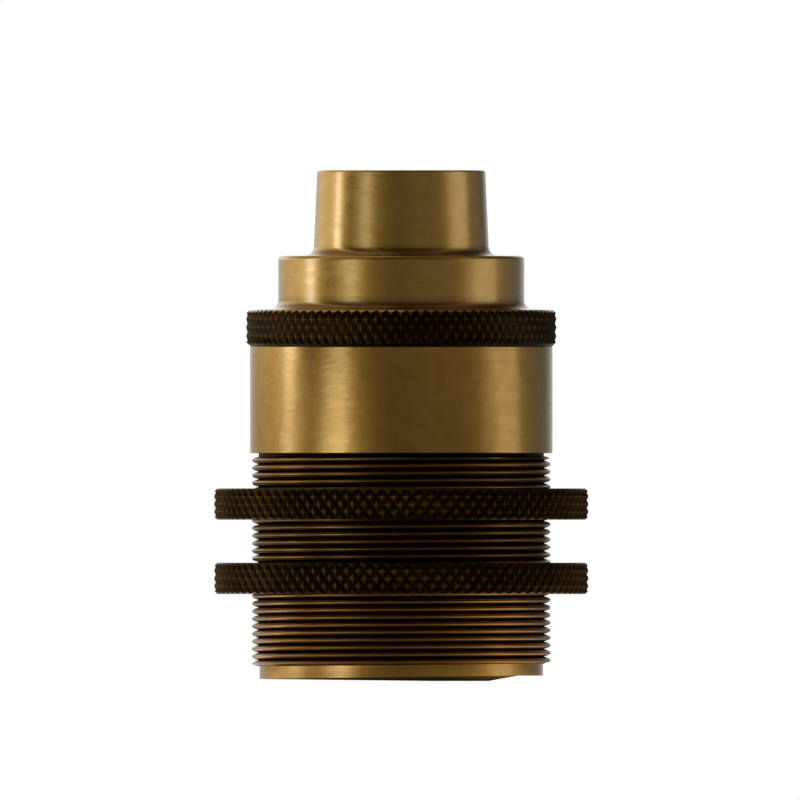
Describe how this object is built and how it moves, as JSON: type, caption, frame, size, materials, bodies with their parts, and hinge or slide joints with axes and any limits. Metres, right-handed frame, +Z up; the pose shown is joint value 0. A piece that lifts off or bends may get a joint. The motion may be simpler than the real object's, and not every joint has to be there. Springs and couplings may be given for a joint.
{
  "type": "lamp holder",
  "caption": "Turned brass pendant lamp holder: stepped cap with knurled flange, threaded skirt with knurled shade rings, porcelain insert with screw shell and sprung contact.",
  "frame": {"origin": "centre of the mouth's plane, at the bottom of the barrel's rim", "axes": "+Z up along the turning axis, from the lamp's mouth to the cable entry; -Y to the picture's camera"},
  "size_m": [0.0502, 0.0502, 0.0684],
  "materials": {
    "antique_brass": "turned and antiqued, satin, fine circular tool marks",
    "dark_knurled_brass": "knurled and darkened, satin",
    "bright_brass": "rolled and turned, bright",
    "plated_steel": "zinc plated",
    "porcelain": "white, glazed"
  },
  "bodies": {
    "barrel": {"barrel": "antique_brass", "insulating_liner": "porcelain", "screw_shell": "bright_brass", "shell_screws": "plated_steel", "shell_nuts": "plated_steel", "porcelain_base": "porcelain", "live_terminal": "bright_brass", "neutral_terminal": "bright_brass", "terminal_screws": "plated_steel", "clamp_plates": "plated_steel", "contact_strap": "bright_brass", "contact_screw": "plated_steel"},
    "cap": {"cap": "antique_brass", "nipple_lock_screw": "plated_steel", "earth_screw": "plated_steel", "earth_washer": "plated_steel"},
    "ring_upper": {"shade_ring_upper": "dark_knurled_brass"},
    "ring_lower": {"shade_ring_lower": "dark_knurled_brass"},
    "centre_contact": {"contact_plunger": "bright_brass", "contact_spring": "plated_steel"}
  },
  "joints": [
    {"name": "cap_lift", "type": "slide", "parent": "barrel", "child": "cap", "axis": [0, 0, 1], "range_m": [0, 0.02]},
    {"name": "ring_upper_travel", "type": "slide", "parent": "barrel", "child": "ring_upper", "axis": [0, 0, 1], "range_m": [-0.0028, 0.0046]},
    {"name": "ring_lower_travel", "type": "slide", "parent": "barrel", "child": "ring_lower", "axis": [0, 0, 1], "range_m": [-0.009, 0.0028]},
    {"name": "centre_contact_spring", "type": "slide", "parent": "barrel", "child": "centre_contact", "axis": [0, 0, 1], "range_m": [0, 0.002], "stiffness_N_per_m": 400, "springref_m": -0.004, "deforming": ["contact_spring"]}
  ]
}
